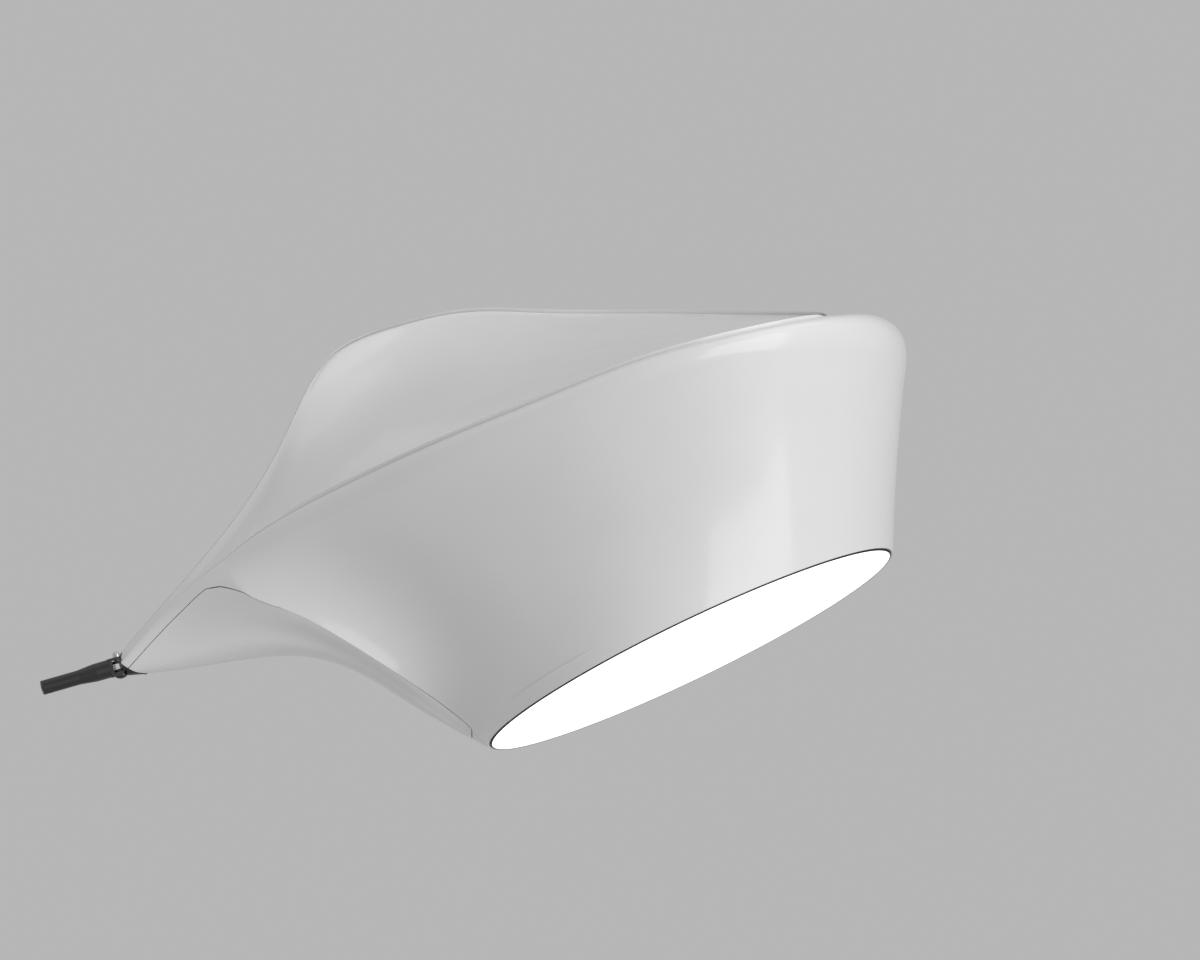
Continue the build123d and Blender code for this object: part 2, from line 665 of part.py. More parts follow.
with BuildPart() as arm_fork:
    add(arm_rod(arm_length - 17.5, arm_length + hub_back, 4.2))
    add(knuckle_box((hub_back, -lower_ear, -ear_outer), (hub_front, lower_ear, ear_outer)))
    add(knuckle_box((hub_back, -upper_ear, ear_inner), (0, upper_ear, ear_outer)))
    add(knuckle_rod(ear_inner, ear_outer, upper_ear))
    add(knuckle_box((hub_back, -lower_ear, -ear_outer), (0, lower_ear, -ear_inner)))
    add(knuckle_rod(-ear_outer, -ear_inner, lower_ear))
    add(knuckle_rod(-8, 8, pin_hole), mode=Mode.SUBTRACT)
    add(arm_rod(arm_length - 20, arm_length, lead_radius + 0.25), mode=Mode.SUBTRACT)

with BuildPart() as upper_pivot:
    add(knuckle_rod(pin_end, ear_outer, pin_radius))
    add(knuckle_rod(ear_outer, ear_outer + 1.2, upper_ear))
    dome_centre = knuckle * Pos(0, 0, ear_outer + 1.2)
    add((dome_centre * Sphere(upper_ear, mode=Mode.PRIVATE)) & knuckle_box((-9, -9, ear_outer + 1.2), (9, 9, ear_outer + 9)))

with BuildPart() as lower_pivot:
    add(knuckle_rod(-ear_outer, -pin_end, pin_radius))
    add(knuckle_rod(-ear_outer - 0.6, -ear_outer, lower_ear))
    cap_centre = knuckle * Pos(0, 0, -ear_outer - 0.6 + 4.8)
    add((cap_centre * Sphere(6.72, mode=Mode.PRIVATE)) & knuckle_box((-9, -9, -ear_outer - 9), (9, 9, -ear_outer - 0.6)))

with BuildPart() as friction_washers:
    add(knuckle_rod(tongue_half + washer_gap, ear_inner, upper_ear) - knuckle_rod(0, 8, pin_radius + 0.1))
    add(knuckle_rod(-ear_inner, -tongue_half - washer_gap, lower_ear) - knuckle_rod(-8, 0, pin_radius + 0.1))

with BuildPart() as arm_lead:
    add(arm_rod(0, arm_length - lead_gap, lead_radius))

# Cross pin that holds the spine in the ferrule's plug
with BuildPart() as spine_pin:
    add(rod_between(pin_middle - pin_way * 5.3, pin_middle + pin_way * 5.3, 1.25))
    add(rod_between(pin_middle - pin_way * 1.9, pin_middle + pin_way * 1.9, 3), mode=Mode.SUBTRACT)

pieces = {
    "main_shell": main_shell,
    "underside_shell": underside_shell,
    "bezel_gasket": bezel_gasket,
    "diffuser": diffuser,
    "diffuser_clips": diffuser_clips,
    "reflector": reflector,
    "led_board": led_board,
    "leds": leds,
    "board_screws": board_screws,
    "lamp_tray": lamp_tray,
    "tray_screws": tray_screws,
    "spine": spine,
    "spine_screws": spine_screws,
    "spine_pins": spine_pin,
    "driver_case": driver_case,
    "driver_lid": driver_lid,
    "driver_screws": driver_screws,
    "driver_board": driver_board,
    "terminal_blocks": terminal_blocks,
    "head_lead": head_lead,
    "driver_lead": driver_lead,
    "lead_clamp": lead_clamp,
    "clamp_screws": clamp_screws,
    "nose_ferrule": nose_ferrule,
    "ferrule_gasket": ferrule_gasket,
    "arm_tube": arm_tube,
    "arm_fork": arm_fork,
    "arm_grub_screw": arm_grub_screw,
    "arm_lead": arm_lead,
    "upper_pivot": upper_pivot,
    "lower_pivot": lower_pivot,
    "friction_washers": friction_washers,
}
for name, piece in pieces.items():
    piece.part.label = name
    export_step(piece.part, f"parts/{name}.step")
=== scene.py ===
import math

import bpy
import numpy as np
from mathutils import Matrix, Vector


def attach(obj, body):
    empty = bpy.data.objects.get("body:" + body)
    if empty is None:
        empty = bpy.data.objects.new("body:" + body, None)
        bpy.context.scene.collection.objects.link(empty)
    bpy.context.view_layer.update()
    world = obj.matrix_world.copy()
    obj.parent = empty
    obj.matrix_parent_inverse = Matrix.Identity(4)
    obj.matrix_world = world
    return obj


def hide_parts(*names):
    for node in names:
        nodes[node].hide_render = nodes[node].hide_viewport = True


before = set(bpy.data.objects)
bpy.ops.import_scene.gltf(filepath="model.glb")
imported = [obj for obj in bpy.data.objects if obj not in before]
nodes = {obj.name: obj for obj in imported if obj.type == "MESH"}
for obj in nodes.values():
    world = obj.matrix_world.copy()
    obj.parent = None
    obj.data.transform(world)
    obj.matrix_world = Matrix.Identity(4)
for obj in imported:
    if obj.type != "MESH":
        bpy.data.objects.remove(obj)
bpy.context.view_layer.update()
scene = bpy.context.scene

# Shell of the head: its sizes in millimetres, in the frame's axes
mouth_centre = np.array([469.7, 0.0, 27.5])
mouth_roll = math.radians(25.8)
mouth_pitch = math.radians(9.1)
mouth_radius = 162.6
wall = 2.6
seam_gap = 0.7
crease_end = 0.80
dish_share = 0.89
between_shares = (0.33, 0.67)
deck_lead = 10
foot_rows = 12
crease_steps = 120
seam_end_slope = 0.8
nose_steps = 8
on_cut = 0.05
near_mouth = 0.4
rim_margin = 1.5

# Section of the mouth's rim from its lip inwards: radius and height above the mouth's plane
rim_profile = [(mouth_radius, 0.0), (161.2, 0.0), (161.2, 2.4), (160.0, 2.4), (160.0, 12.0)]

# The mouth's own directions: across it, square to it and inward, and along it
across = np.array([math.cos(mouth_roll), 0.0, math.sin(mouth_roll)])
inward = np.array([
    -math.sin(mouth_roll) * math.cos(mouth_pitch),
    math.sin(mouth_pitch),
    math.cos(mouth_roll) * math.cos(mouth_pitch),
])
along = np.cross(inward, across)
collar_centre = np.array([64.5, 11.6, 16.3])
collar_normal = np.array([-0.507, 0.407, -0.760])

# Rim of the head: angle round the mouth, sharp corner, roll that rounds it, dish of the wall
rim_stations = [
    (-174, (131.5, -24.6, 88.6), 12.3, 0),
    (-160, (165.8, -47.8, 113.3), 12.3, 24),
    (-142, (222.7, -92.7, 142.8), 12.3, 24),
    (-122, (291.3, -141.2, 175.2), 12.3, 21),
    (-102, (361.9, -177.4, 205.0), 12.3, 17),
    (-82, (431.5, -199.1, 233.2), 13.0, 12),
    (-62, (497.5, -196.9, 252.0), 14.5, 6),
    (-42, (555.4, -160.7, 264.4), 21.0, 3),
    (-22, (602.3, -97.7, 269.4), 29.0, 2),
    (0, (628.2, 0.0, 270.7), 36.0, 2),
    (22, (610.7, 101.4, 272.6), 29.0, 1),
    (42, (568.1, 168.0, 274.6), 21.0, -3),
    (62, (509.5, 206.3, 276.4), 14.5, -6),
    (85, (437.8, 217.2, 278.0), 10.0, -6),
    (108, (366.0, 206.3, 278.6), 8.7, -4),
    (130, (302.4, 177.4, 279.6), 8.7, 0),
    (148, (247.4, 137.6, 267.5), 8.7, 4),
    (160, (200.8, 94.1, 243.3), 8.7, 4),
    (168, (172.1, 60.8, 187.2), 7.2, 0),
    (173, (133.9, 36.2, 121.4), 5.8, 0),
    (176, (87.5, 22.3, 64.8), 4.3, 0),
    (178, (44.9, 15.6, 10.4), 3.0, 0),
    (180, (46.9, 7.6, 8.4), 3.0, 0),
    (182, (74.0, 3.5, 40.0), 6.5, 0),
    (184, (105.0, -9.5, 70.0), 10.0, 0),
    (186, (131.5, -24.6, 88.6), 12.3, 0),
]
angles = [station[0] for station in rim_stations]

# Lines of the horn below the rim, from the mouth's left-hand end to the nose, by their angle
crease_line = [
    (309.9, -13.0, -27.8), (262.8, -33.3, 8.2), (217.9, -43.4, 37.2), (177.7, -42.0, 57.6), (148.6, -34.8, 69.4),
]
horn_lines = {
    -174: crease_line,
    176: [(263.5, 14.0, -3.9), (204.6, 17.9, 32.7), (141.9, 21.5, 49.3)],
    178: [
        (309.6, 2.9, -36.3), (265.3, 5.8, -11.1), (218.9, 7.2, 15.0), (186.2, 8.7, 22.9), (142.6, 10.1, 20.0),
        (91.8, 12.9, 12.0),
    ],
    180: [
        (309.6, -1.0, -35.8), (265.0, -5.0, -8.5), (218.0, -6.5, 18.0), (186.0, -7.0, 26.5), (142.6, -3.0, 25.0),
        (91.8, 3.9, 15.5),
    ],
    182: [
        (309.6, -5.0, -34.0), (264.5, -15.5, -3.0), (217.7, -21.0, 25.5), (184.0, -21.5, 37.0), (142.0, -15.0, 40.5),
        (100.0, -3.0, 35.0),
    ],
    184: [
        (309.8, -9.5, -31.0), (263.6, -25.5, 2.5), (217.8, -34.5, 31.5), (180.0, -34.0, 48.0), (145.0, -26.5, 57.0),
    ],
    186: crease_line,
}
deck_line = [
    (44.9, 11.6, 9.4), (88.2, 10.1, 56.3), (117.4, 7.2, 86.8), (158.9, 3.6, 126.0), (204.4, 7.2, 170.9),
    (258.6, 10.9, 208.6), (331.2, 14.5, 229.0), (418.3, 7.2, 248.5), (505.1, 0.0, 260.6), (563.1, 0.0, 267.9),
]

# Stations that face each other across the deck, from the nose to the right-hand end, and the sag there
deck_pairs = [
    (180, 178, 0), (182, 176, 3), (184, 173, 8), (186, 168, 13), (-160, 160, 16), (-142, 148, 14),
    (-122, 130, 9), (-102, 108, 5), (-82, 85, 4), (-62, 62, 4), (-42, 42, 3), (-22, 22, 2), (0, 0, 0),
]

# Parting line of the underside panel beyond the crease, seen square from the near side, and its end
seam_points = [
    (20, -21), (41.8, 0), (62, 14.5), (78, 32.6), (92.5, 47.8), (112, 66.6), (119.2, 72.4), (130.1, 74.2),
    (140.0, 72.2),
]
seam_end = 311.5


def unit(v):
    """The same direction with length one."""
    return v / np.linalg.norm(v)


def mouth_point(angle, radius):
    """Point in the mouth's plane, by its angle in degrees."""
    turn = math.radians(angle)
    return mouth_centre + across * radius * math.cos(turn) + along * radius * math.sin(turn)


def spline(knots, values, at):
    """Smooth curve through values at rising knots."""
    count = len(knots)
    step = np.diff(knots)
    flat = values.reshape(count, -1)
    system = np.zeros((count, count))
    system[0, :3] = step[1], -step[0] - step[1], step[0]
    system[-1, -3:] = step[-1], -step[-2] - step[-1], step[-2]
    right = np.zeros_like(flat)
    for k in range(1, count - 1):
        system[k, k - 1:k + 2] = step[k - 1], 2 * (step[k - 1] + step[k]), step[k]
        right[k] = 6 * ((flat[k + 1] - flat[k]) / step[k] - (flat[k] - flat[k - 1]) / step[k - 1])
    bend = np.linalg.solve(system, right)
    k = np.clip(np.searchsorted(knots, at, side="right") - 1, 0, count - 2)
    wide = step[k][:, None]
    done = (at - knots[k])[:, None]
    left = wide - done
    out = (bend[k] * left ** 3 + bend[k + 1] * done ** 3) / (6 * wide)
    out += (flat[k] / wide - bend[k] * wide / 6) * left + (flat[k + 1] / wide - bend[k + 1] * wide / 6) * done
    return out.reshape((len(at),) + values.shape[1:])


def column(station):
    """Points of the side wall, its rim corner and the deck's edge above one angle of the mouth."""
    angle, corner, roll, dish = station
    corner = np.array(corner)
    foot = mouth_point(angle, mouth_radius)
    line = np.array(deck_line)
    over = np.array([np.interp(corner[0] + deck_lead, line[:, 0], line[:, k]) for k in range(3)])
    if angle in horn_lines:
        between = [np.array(p) for p in horn_lines[angle]]
        wall_top = corner + unit(between[-1] - corner) * roll
    else:
        wall_top = corner + unit(foot - corner) * roll
        middle = (foot + wall_top) / 2
        axis_point = mouth_centre + inward * np.dot(middle - mouth_centre, inward)
        push = unit(axis_point - middle) * dish * dish_share
        between = [foot + (wall_top - foot) * share + push for share in between_shares]
    return np.array([foot, *between, wall_top]), corner, corner + unit(over - corner) * roll


def head_surface(wall_rows=60, roll_rows=13, deck_rows=72, spacing=3.6):
    """The head's outer face as points and polygons, with the crease left open as far as it is sharp."""
    columns = []
    for station in rim_stations:
        points, corner, deck_edge = column(station)
        knots = np.concatenate([[0], np.cumsum(np.linalg.norm(np.diff(points, axis=0), axis=1))])
        side = spline(knots, points, np.linspace(0, knots[-1], wall_rows))
        t = np.linspace(0, 1, roll_rows)[1:, None]
        roll = points[-1] * (1 - t) ** 2 + corner * 2 * t * (1 - t) + deck_edge * t ** 2
        columns.append(np.concatenate([side, roll]))
    columns = np.array(columns)
    gaps = np.linalg.norm(np.diff(columns, axis=0), axis=2)
    knots = np.concatenate([[0], np.cumsum(gaps.mean(axis=1))])
    last = len(angles) - 1
    places = [(angles.index(near), angles.index(far)) for near, far, sag in deck_pairs]
    steps = {angles.index(178): nose_steps}
    for (near, far), (next_near, next_far) in zip(places, places[1:]):
        start = 0 if near == last else near
        count = int(math.ceil(max(gaps[min(start, next_near)].max(), gaps[next_far].max()) / spacing))
        steps[min(start, next_near)] = count
        steps[next_far] = count
    at, first = [], {}
    for k in range(last):
        first[k] = len(at)
        at += list(np.linspace(knots[k], knots[k + 1], steps[k] + 1)[:-1])
    first[last] = len(at)
    at.append(knots[-1])
    dense = spline(knots, columns, np.array(at))

    # the foot of the wall is truly round
    local = dense[:, 0] - mouth_centre
    flat = local - np.outer(local @ inward, inward)
    true_foot = mouth_centre + flat * (mouth_radius / np.linalg.norm(flat, axis=1))[:, None]
    fade = np.clip(1 - np.arange(dense.shape[1]) / foot_rows, 0, 1) ** 2
    dense = dense + (true_foot - dense[:, 0])[:, None] * fade[None, :, None]

    count, rows = dense.shape[:2]
    points = [p for p in dense.reshape(-1, 3)]
    ids = np.arange(count * rows).reshape(count, rows)
    ids[-1, int(crease_end * wall_rows):] = ids[0, int(crease_end * wall_rows):]
    faces = []
    for i in range(count - 1):
        for j in range(rows - 1):
            faces.append((ids[i, j], ids[i + 1, j], ids[i + 1, j + 1], ids[i, j + 1]))

    near_line, far_line, marks = [], [], [0]
    for (near, far), (next_near, next_far) in zip(places, places[1:]):
        start = 0 if near == last else near
        count = steps[next_far]
        near_line += [first[start] + s for s in range(count)]
        far_line += [first[far] - s for s in range(count)]
        marks.append(marks[-1] + count)
    near_line.append(first[places[-1][0]])
    far_line.append(first[places[-1][1]])
    sags = spline(np.array(marks, float), np.array([[float(p[2])] for p in deck_pairs]), np.arange(len(near_line)))
    across_deck = np.linspace(0, 1, deck_rows + 1)
    lines = []
    for t, (a, b) in enumerate(zip(near_line, far_line)):
        start, end = dense[a, -1], dense[b, -1]
        line = [ids[a, -1]]
        if a != b:
            for share in across_deck[1:-1]:
                points.append(start + (end - start) * share - np.array([0, 0, 4 * sags[t, 0] * share * (1 - share)]))
                line.append(len(points) - 1)
            line.append(ids[b, -1])
        lines.append(line)
    for one, two in zip(lines, lines[1:]):
        for v in range(deck_rows):
            if len(two) == 1:
                faces.append((one[v], one[v + 1], two[0]))
            else:
                faces.append((one[v], one[v + 1], two[v + 1], two[v]))
    return np.array(points), faces


def face_square(points, face):
    """Normal of a polygon times twice its area."""
    p = points[list(face)]
    return np.cross(p, np.roll(p, -1, axis=0)).sum(axis=0)


def point_normals(points, faces):
    """Outward direction at each point, from the polygons that meet there."""
    normals = np.zeros_like(points)
    for face in faces:
        square = face_square(points, face)
        for k in face:
            normals[k] += square
    length = np.linalg.norm(normals, axis=1)
    return normals / np.where(length > 0, length, 1)[:, None]


def cut(points, normals, faces, values):
    """Parts polygons on the line where values is zero. Gives the new points and the two sets of polygons."""
    points, normals = list(points), list(normals)
    made = {}
    below, above = [], []

    def crossing(a, b):
        key = (min(a, b), max(a, b))
        if key not in made:
            share = values[key[0]] / (values[key[0]] - values[key[1]])
            points.append(points[key[0]] + (points[key[1]] - points[key[0]]) * share)
            normals.append(unit(normals[key[0]] + (normals[key[1]] - normals[key[0]]) * share))
            made[key] = len(points) - 1
        return made[key]

    for face in faces:
        signs = [values[k] > 0 for k in face]
        if all(signs):
            above.append(tuple(face))
        elif not any(signs):
            below.append(tuple(face))
        else:
            low, high = [], []
            for k, following in zip(face, face[1:] + face[:1]):
                (high if values[k] > 0 else low).append(k)
                if (values[k] > 0) != (values[following] > 0):
                    new = crossing(k, following)
                    low.append(new)
                    high.append(new)
            if len(low) > 2:
                below.append(tuple(low))
            if len(high) > 2:
                above.append(tuple(high))
    return np.array(points), np.array(normals), below, above


def boundary(faces):
    """Edges that belong to one polygon only, in that polygon's direction."""
    seen = {}
    for face in faces:
        face = list(face)
        for a, b in zip(face, face[1:] + face[:1]):
            seen[(a, b)] = True
    return [edge for edge in seen if (edge[1], edge[0]) not in seen]


def build(name, points, faces, body):
    """A piece from points in millimetres and polygons."""
    used = sorted({k for face in faces for k in face})
    order = {k: n for n, k in enumerate(used)}
    mesh = bpy.data.meshes.new(name)
    mesh.from_pydata([tuple(points[k] * 0.001) for k in used], [], [[order[k] for k in face] for face in faces])
    mesh.validate()
    mesh.update()
    mesh.shade_smooth()
    obj = bpy.data.objects.new(name, mesh)
    scene.collection.objects.link(obj)
    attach(obj, body)
    return obj


# Outer face, all round
points, faces = head_surface()
if face_square(points, faces[0]) @ (points[faces[0][0]] - mouth_centre) < 0:
    faces = [tuple(reversed(face)) for face in faces]
normals = point_normals(points, faces)


def past_collar(p):
    """How far points lie beyond the end of the white nose."""
    return (p - collar_centre) @ unit(collar_normal)


points, normals, faces = cut(points, normals, faces, past_collar(points))[:3]

# Where the two panels part: the crease itself as far as its upper end, then the line up to the nose
crease_points = column(rim_stations[0])[0]
crease_knots = np.concatenate([[0], np.cumsum(np.linalg.norm(np.diff(crease_points, axis=0), axis=1))])
crease_curve = spline(crease_knots, crease_points, np.linspace(0, crease_knots[-2], crease_steps))
seam_x = np.concatenate([[p[0] for p in seam_points], crease_curve[::-1, 0]])
seam_z = np.concatenate([[p[1] for p in seam_points], crease_curve[::-1, 2]])


def above_seam(p):
    """How far points lie above the seam, and so on the main moulding."""
    return np.maximum(p[:, 2] - np.interp(p[:, 0], seam_x, seam_z), (p[:, 0] - seam_end) * seam_end_slope)


points, normals, lower, upper = cut(points, normals, faces, above_seam(points))
points, normals, lower = cut(points, normals, lower, above_seam(points) + seam_gap)[:3]


def flanges(points, normals, faces, keep):
    """Adds the cut edge of the wall along the boundary edges that keep picks."""
    points, faces = list(points), list(faces)
    made = {}

    def at(k, deep):
        key = (k, deep)
        if key not in made:
            points.append(points[k] - normals[k] * deep)
            made[key] = len(points) - 1
        return made[key]

    for a, b in boundary(faces):
        if keep(points[a]) and keep(points[b]):
            faces.append((at(b, 0.0), at(a, 0.0), at(a, wall), at(b, wall)))
    return np.array(points), faces


def on_mouth(p):
    """Whether a point lies on the rim of the mouth."""
    from_centre = p - mouth_centre
    return abs(from_centre @ inward) < near_mouth and np.linalg.norm(from_centre) < mouth_radius + rim_margin


def rim_ring(points, faces):
    """Adds the rim round the mouth: its lip, the step for the gasket and the start of the inner wall."""
    points, faces = list(points), list(faces)
    made = {}

    def at(k, step):
        if (k, step) not in made:
            out = points[k] - mouth_centre
            out = unit(out - inward * (out @ inward))
            radius, height = rim_profile[step]
            points.append(mouth_centre + out * radius + inward * height)
            made[(k, step)] = len(points) - 1
        return made[(k, step)]

    for a, b in boundary(faces):
        if on_mouth(points[a]) and on_mouth(points[b]):
            for step in range(len(rim_profile) - 1):
                faces.append((at(b, step), at(a, step), at(a, step + 1), at(b, step + 1)))
    return np.array(points), faces


def at_collar(p):
    """Whether a point lies on the end of the white nose."""
    return abs(past_collar(p)) < on_cut


def wall_edge(p):
    """Whether a point lies on an edge where the wall's thickness shows."""
    return not on_mouth(p) and not at_collar(p)


def cap_nose(points, faces):
    """Closes the end of the nose with a flat face."""
    edges = {a: b for a, b in boundary(faces) if at_collar(points[a]) and at_collar(points[b])}
    if not edges:
        return points, faces
    starts = set(edges) - set(edges.values())
    here = min(starts) if starts else min(edges)
    loop = [here]
    while here in edges and edges[here] != loop[0]:
        here = edges[here]
        loop.append(here)
    base = len(points)
    points = np.concatenate([points, points[loop]])
    return points, faces + [tuple(reversed(range(base, base + len(loop))))]


upper_points, upper = flanges(points, normals, upper, wall_edge)
upper_points, upper = rim_ring(upper_points, upper)
upper_points, upper = cap_nose(upper_points, upper)
lower_points, lower = flanges(points, normals, lower, wall_edge)
lower_points, lower = cap_nose(lower_points, lower)
shell = build("main_shell_moulding", upper_points, upper, "head")
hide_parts("main_shell")
leaf = build("underside_moulding", lower_points, lower, "head")
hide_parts("underside_shell")


# Finishes
def new_material(name):
    """An empty surface finish with its node tree and shader."""
    material = bpy.data.materials.new(name)
    material.use_nodes = True
    tree = material.node_tree
    shader = tree.nodes["Principled BSDF"]
    return material, tree, shader


def object_noise(tree, scale, detail=2.0, roughness=0.5):
    """Noise that stays with the object, by its own coordinates."""
    place = tree.nodes.new("ShaderNodeTexCoord")
    noise = tree.nodes.new("ShaderNodeTexNoise")
    noise.inputs["Scale"].default_value = scale
    noise.inputs["Detail"].default_value = detail
    noise.inputs["Roughness"].default_value = roughness
    tree.links.new(place.outputs["Object"], noise.inputs["Vector"])
    return noise


def spread(tree, source, low, high, start=0.35, end=0.65):
    """Maps a value from one span to another."""
    scale = tree.nodes.new("ShaderNodeMapRange")
    scale.inputs["From Min"].default_value = start
    scale.inputs["From Max"].default_value = end
    scale.inputs["To Min"].default_value = low
    scale.inputs["To Max"].default_value = high
    tree.links.new(source, scale.inputs["Value"])
    return scale.outputs["Result"]


def two_tone(tree, source, one, two, start=0.35, end=0.65):
    """Colour that goes from one tone to the other with a value."""
    ramp = tree.nodes.new("ShaderNodeValToRGB")
    ramp.color_ramp.elements[0].position = start
    ramp.color_ramp.elements[0].color = (*one, 1)
    ramp.color_ramp.elements[1].position = end
    ramp.color_ramp.elements[1].color = (*two, 1)
    tree.links.new(source, ramp.inputs["Fac"])
    return ramp.outputs["Color"]


def finish(name, tones, tone_scale, rough, bump_scale, bump_deep, metallic=0.0, coat=0.0, coat_rough=0.03):
    """A surface with a slowly changing tone, uneven gloss and a fine grain."""
    material, tree, shader = new_material(name)
    tone = object_noise(tree, tone_scale, 3.0)
    tree.links.new(two_tone(tree, tone.outputs["Fac"], *tones), shader.inputs["Base Color"])
    gloss = object_noise(tree, tone_scale * 2.3, 4.0)
    tree.links.new(spread(tree, gloss.outputs["Fac"], rough[0], rough[1]), shader.inputs["Roughness"])
    grain = object_noise(tree, bump_scale, 2.0)
    bump = tree.nodes.new("ShaderNodeBump")
    bump.inputs["Strength"].default_value = 1.0
    bump.inputs["Distance"].default_value = bump_deep
    tree.links.new(grain.outputs["Fac"], bump.inputs["Height"])
    tree.links.new(bump.outputs["Normal"], shader.inputs["Normal"])
    shader.inputs["Metallic"].default_value = metallic
    shader.inputs["IOR"].default_value = 1.5
    shader.inputs["Coat Weight"].default_value = coat
    shader.inputs["Coat Roughness"].default_value = coat_rough
    return material


# Finish of each slot: its two tones, their scale, its roughness and its grain's scale and depth
finishes = {
    "white_gloss": (
        ((0.80, 0.80, 0.805), (0.83, 0.83, 0.828)),
        9.0, (0.16, 0.22), 260.0, 0.000012, {"coat": 0.25, "coat_rough": 0.06},
    ),
    "black_metal": (
        ((0.008, 0.008, 0.009), (0.014, 0.014, 0.015)),
        60.0, (0.30, 0.42), 2600.0, 0.00002, {"coat": 0.2, "coat_rough": 0.2},
    ),
    "dark_steel": (
        ((0.05, 0.05, 0.052), (0.09, 0.088, 0.085)), 80.0, (0.28, 0.4), 1800.0, 0.00001, {"metallic": 0.9},
    ),
    "bright_steel": (
        ((0.55, 0.55, 0.56), (0.68, 0.68, 0.69)), 90.0, (0.16, 0.26), 1800.0, 0.00001, {"metallic": 1.0},
    ),
    "washer": (
        ((0.10, 0.10, 0.10), (0.16, 0.155, 0.15)), 200.0, (0.5, 0.65), 2500.0, 0.00002, {},
    ),
    "lead_sheath": (
        ((0.55, 0.55, 0.54), (0.62, 0.62, 0.61)), 70.0, (0.45, 0.55), 1500.0, 0.00002, {},
    ),
    "black_rubber": (
        ((0.010, 0.010, 0.011), (0.02, 0.02, 0.021)), 120.0, (0.55, 0.7), 2200.0, 0.00003, {},
    ),
    "white_satin": (
        ((0.78, 0.78, 0.78), (0.84, 0.84, 0.835)), 30.0, (0.4, 0.5), 1200.0, 0.00001, {},
    ),
    "board_white": (
        ((0.74, 0.75, 0.74), (0.80, 0.80, 0.79)), 40.0, (0.35, 0.45), 1500.0, 0.00001, {},
    ),
    "led_yellow": (
        ((0.80, 0.60, 0.12), (0.86, 0.68, 0.20)), 500.0, (0.3, 0.4), 3000.0, 0.00001, {},
    ),
    "tray_aluminium": (
        ((0.56, 0.57, 0.58), (0.66, 0.67, 0.68)), 22.0, (0.32, 0.45), 900.0, 0.00002, {"metallic": 0.95},
    ),
    "case_plastic": (
        ((0.70, 0.70, 0.69), (0.76, 0.76, 0.75)), 30.0, (0.42, 0.52), 1600.0, 0.00003, {},
    ),
    "board_green": (
        ((0.02, 0.14, 0.06), (0.03, 0.19, 0.08)), 120.0, (0.3, 0.4), 1800.0, 0.00002, {},
    ),
    "terminal_plastic": (
        ((0.30, 0.31, 0.32), (0.38, 0.39, 0.40)), 90.0, (0.4, 0.5), 1500.0, 0.00002, {},
    ),
}
materials = {name: finish(name, *values[:-1], **values[-1]) for name, values in finishes.items()}


disc_radius = 0.16
disc_glow = 1.15


def opal():
    """Lit opal sheet, a touch brighter towards its middle."""
    material, tree, shader = new_material("opal")
    place = tree.nodes.new("ShaderNodeTexCoord")
    shift = tree.nodes.new("ShaderNodeMapping")
    shift.inputs["Location"].default_value = tuple(-mouth_centre * 0.001)
    tree.links.new(place.outputs["Object"], shift.inputs["Vector"])
    distance = tree.nodes.new("ShaderNodeVectorMath")
    distance.operation = "LENGTH"
    tree.links.new(shift.outputs["Vector"], distance.inputs[0])
    share = spread(tree, distance.outputs["Value"], 0.0, 1.0, 0.0, disc_radius)
    glow = two_tone(tree, share, (1.0, 0.995, 0.985), (0.98, 0.975, 0.965), 0.0, 1.0)
    tree.links.new(glow, shader.inputs["Emission Color"])
    shader.inputs["Emission Strength"].default_value = disc_glow
    shader.inputs["Base Color"].default_value = (0.85, 0.85, 0.84, 1)
    grain = object_noise(tree, 900.0, 2.0)
    tree.links.new(spread(tree, grain.outputs["Fac"], 0.32, 0.42), shader.inputs["Roughness"])
    return material


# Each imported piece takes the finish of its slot
materials["opal"] = opal()
for name, obj in nodes.items():
    for place in obj.material_slots:
        slot_name = place.material.name.split(".")[0]
        place.material = materials[slot_name]
for piece in (shell, leaf):
    piece.data.materials.append(materials["white_gloss"])


# Stage: a pale floor well below, which fades into the plain grey round it
grey = 0.47
floor_tone = 0.68
floor_height = -0.62
floor_radius = 6.0
floor_middle = 0.4
half_sides = 32
fade_start, fade_end = 0.7, 2.4
floor_mesh = bpy.data.meshes.new("floor")
ring = [
    (
        floor_middle + floor_radius * math.cos(k * math.pi / half_sides),
        floor_radius * math.sin(k * math.pi / half_sides),
        floor_height,
    )
    for k in range(2 * half_sides)
]
floor_mesh.from_pydata(ring, [], [list(range(2 * half_sides))])
floor = bpy.data.objects.new("floor", floor_mesh)
scene.collection.objects.link(floor)
floor_material, tree, shader = new_material("floor")
shader.inputs["Base Color"].default_value = (floor_tone, floor_tone, floor_tone, 1)
shader.inputs["Roughness"].default_value = 0.9
place = tree.nodes.new("ShaderNodeTexCoord")
flat = tree.nodes.new("ShaderNodeVectorMath")
flat.operation = "MULTIPLY"
flat.inputs[1].default_value = (1, 1, 0)
tree.links.new(place.outputs["Object"], flat.inputs[0])
distance = tree.nodes.new("ShaderNodeVectorMath")
distance.operation = "LENGTH"
tree.links.new(flat.outputs["Vector"], distance.inputs[0])
glow = tree.nodes.new("ShaderNodeEmission")
glow.inputs["Color"].default_value = (grey, grey, grey, 1)
blend = tree.nodes.new("ShaderNodeMixShader")
fade = spread(tree, distance.outputs["Value"], 0.0, 1.0, fade_start, fade_end)
tree.links.new(fade, blend.inputs["Fac"])
tree.links.new(shader.outputs["BSDF"], blend.inputs[1])
tree.links.new(glow.outputs["Emission"], blend.inputs[2])
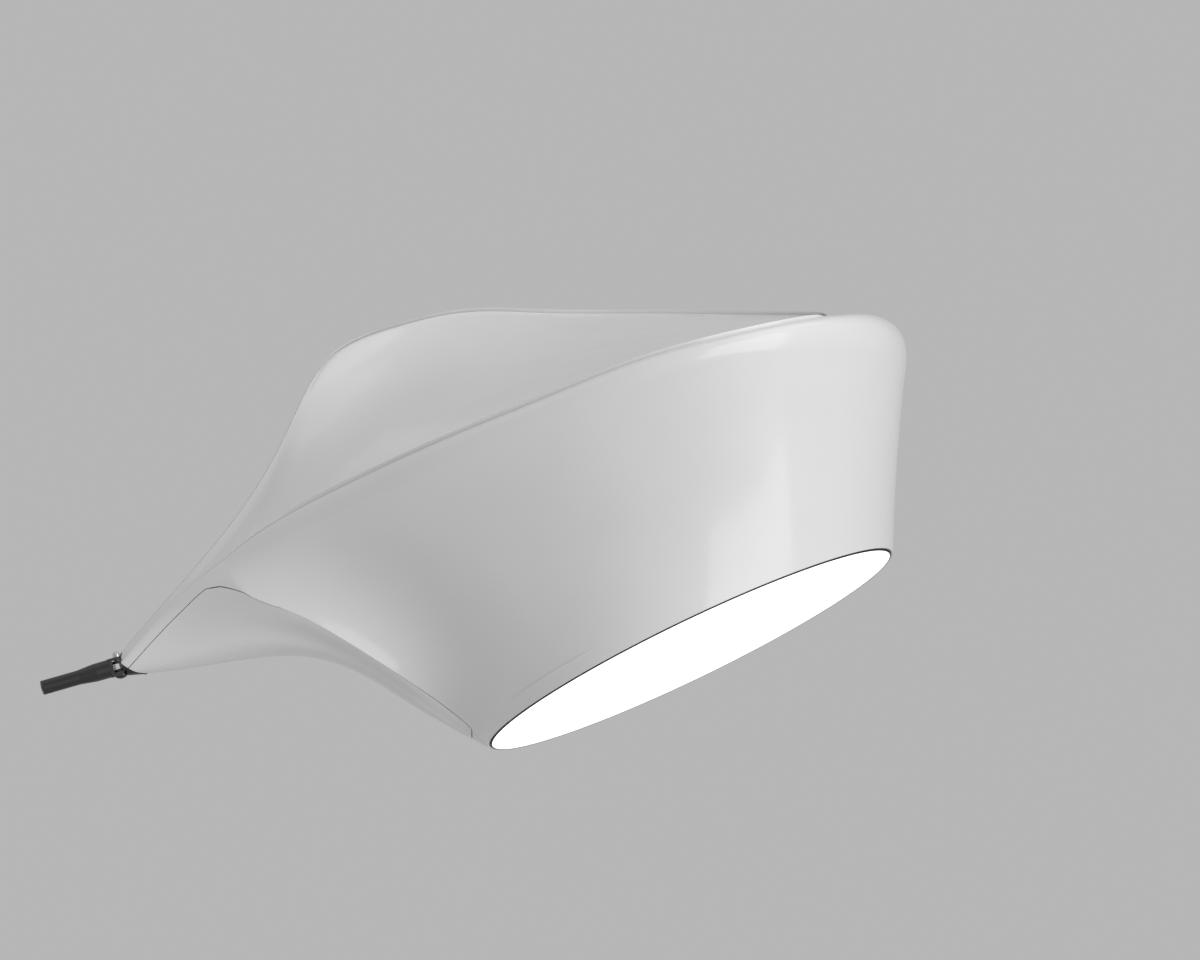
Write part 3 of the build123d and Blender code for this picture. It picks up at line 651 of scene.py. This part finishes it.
tree.links.new(blend.outputs["Shader"], tree.nodes["Material Output"].inputs["Surface"])
floor_mesh.materials.append(floor_material)

world = bpy.data.worlds.new("studio")
scene.world = world
world.use_nodes = True
tree = world.node_tree
light = tree.nodes["Background"]
light.inputs["Color"].default_value = (0.46, 0.46, 0.465, 1)
seen = tree.nodes.new("ShaderNodeBackground")
seen.inputs["Color"].default_value = (grey, grey, grey, 1)
path = tree.nodes.new("ShaderNodeLightPath")
shown = path.outputs["Is Camera Ray"]
for ray in ("Is Glossy Ray", "Is Transmission Ray"):
    either = tree.nodes.new("ShaderNodeMath")
    either.operation = "MAXIMUM"
    tree.links.new(shown, either.inputs[0])
    tree.links.new(path.outputs[ray], either.inputs[1])
    shown = either.outputs["Value"]
blend = tree.nodes.new("ShaderNodeMixShader")
tree.links.new(shown, blend.inputs["Fac"])
tree.links.new(light.outputs["Background"], blend.inputs[1])
tree.links.new(seen.outputs["Background"], blend.inputs[2])
tree.links.new(blend.outputs["Shader"], tree.nodes["World Output"].inputs["Surface"])


aim = (0.38, 0.0, 0.15)


def soft_box(name, place, wide, power):
    """A square soft lamp that faces the middle of the object."""
    lamp = bpy.data.lights.new(name, "AREA")
    lamp.shape = "RECTANGLE"
    lamp.size, lamp.size_y = wide, wide
    lamp.energy = power
    obj = bpy.data.objects.new(name, lamp)
    scene.collection.objects.link(obj)
    obj.location = place
    obj.rotation_euler = (Vector(aim) - Vector(place)).to_track_quat("-Z", "Y").to_euler()


soft_box("key", (1.75, -1.5, 0.45), 2.2, 22)
soft_box("top_left", (-0.37, -0.13, 1.75), 1.6, 2.5)
soft_box("top_right", (1.13, -0.13, 1.75), 1.6, 4.5)

# Camera at the photograph's viewing angle
camera_data = bpy.data.cameras.new("camera")
camera_data.lens = 200
camera_data.sensor_width = 36
camera = bpy.data.objects.new("camera", camera_data)
scene.collection.objects.link(camera)
camera.location = (0.4038, -4.83, 0.1506)
camera.rotation_euler = (math.radians(90), 0, 0)
scene.camera = camera
scene.view_settings.view_transform = "Standard"
